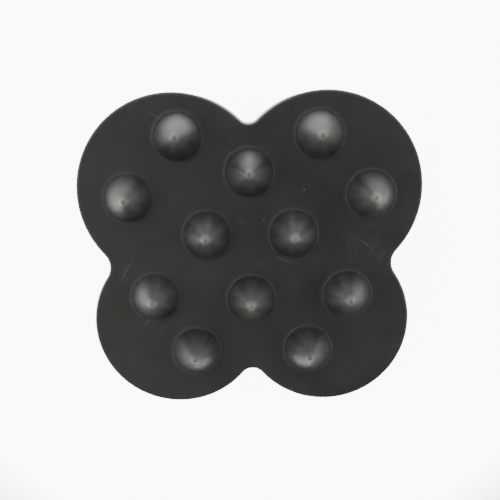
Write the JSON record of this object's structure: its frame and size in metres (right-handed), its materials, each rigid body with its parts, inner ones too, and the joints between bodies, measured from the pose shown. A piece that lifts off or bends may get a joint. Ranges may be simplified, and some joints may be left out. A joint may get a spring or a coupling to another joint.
{
  "type": "case opening friction ball",
  "caption": "Four-lobed hand-held rubber friction pad with a studded flat gripping face and a rounded back, for turning screwed watch case backs.",
  "frame": {"origin": "middle of the overall box in plan, on the flat back that the pad rests on", "axes": "+Z out of the studded gripping face, +X across the lobes to the right seen onto that face, +Y towards the two larger lobes"},
  "size_m": [0.065, 0.0598, 0.033],
  "materials": {
    "matte_rubber": "matte moulded",
    "stud_rubber": "satin moulded",
    "core_rubber": "closed-cell sponge"
  },
  "bodies": {
    "pad": {"grip_face": "matte_rubber", "palm_shell": "matte_rubber", "core": "core_rubber"},
    "stud_top_left": {"stud_top_left": "stud_rubber"},
    "stud_top_right": {"stud_top_right": "stud_rubber"},
    "stud_upper_left": {"stud_upper_left": "stud_rubber"},
    "stud_upper_right": {"stud_upper_right": "stud_rubber"},
    "stud_upper_middle": {"stud_upper_middle": "stud_rubber"},
    "stud_inner_left": {"stud_inner_left": "stud_rubber"},
    "stud_inner_right": {"stud_inner_right": "stud_rubber"},
    "stud_lower_left": {"stud_lower_left": "stud_rubber"},
    "stud_lower_right": {"stud_lower_right": "stud_rubber"},
    "stud_lower_middle": {"stud_lower_middle": "stud_rubber"},
    "stud_bottom_left": {"stud_bottom_left": "stud_rubber"},
    "stud_bottom_right": {"stud_bottom_right": "stud_rubber"}
  },
  "joints": [
    {"name": "stud_top_left_press", "type": "slide", "parent": "pad", "child": "stud_top_left", "axis": [0, 0, -1], "range_m": [0, 0.0012], "stiffness_N_per_m": 1500},
    {"name": "stud_top_right_press", "type": "slide", "parent": "pad", "child": "stud_top_right", "axis": [0, 0, -1], "range_m": [0, 0.0012], "stiffness_N_per_m": 1500},
    {"name": "stud_upper_left_press", "type": "slide", "parent": "pad", "child": "stud_upper_left", "axis": [0, 0, -1], "range_m": [0, 0.0012], "stiffness_N_per_m": 1500},
    {"name": "stud_upper_right_press", "type": "slide", "parent": "pad", "child": "stud_upper_right", "axis": [0, 0, -1], "range_m": [0, 0.0012], "stiffness_N_per_m": 1500},
    {"name": "stud_upper_middle_press", "type": "slide", "parent": "pad", "child": "stud_upper_middle", "axis": [0, 0, -1], "range_m": [0, 0.0012], "stiffness_N_per_m": 1500},
    {"name": "stud_inner_left_press", "type": "slide", "parent": "pad", "child": "stud_inner_left", "axis": [0, 0, -1], "range_m": [0, 0.0012], "stiffness_N_per_m": 1500},
    {"name": "stud_inner_right_press", "type": "slide", "parent": "pad", "child": "stud_inner_right", "axis": [0, 0, -1], "range_m": [0, 0.0012], "stiffness_N_per_m": 1500},
    {"name": "stud_lower_left_press", "type": "slide", "parent": "pad", "child": "stud_lower_left", "axis": [0, 0, -1], "range_m": [0, 0.0012], "stiffness_N_per_m": 1500},
    {"name": "stud_lower_right_press", "type": "slide", "parent": "pad", "child": "stud_lower_right", "axis": [0, 0, -1], "range_m": [0, 0.0012], "stiffness_N_per_m": 1500},
    {"name": "stud_lower_middle_press", "type": "slide", "parent": "pad", "child": "stud_lower_middle", "axis": [0, 0, -1], "range_m": [0, 0.0012], "stiffness_N_per_m": 1500},
    {"name": "stud_bottom_left_press", "type": "slide", "parent": "pad", "child": "stud_bottom_left", "axis": [0, 0, -1], "range_m": [0, 0.0012], "stiffness_N_per_m": 1500},
    {"name": "stud_bottom_right_press", "type": "slide", "parent": "pad", "child": "stud_bottom_right", "axis": [0, 0, -1], "range_m": [0, 0.0012], "stiffness_N_per_m": 1500}
  ]
}
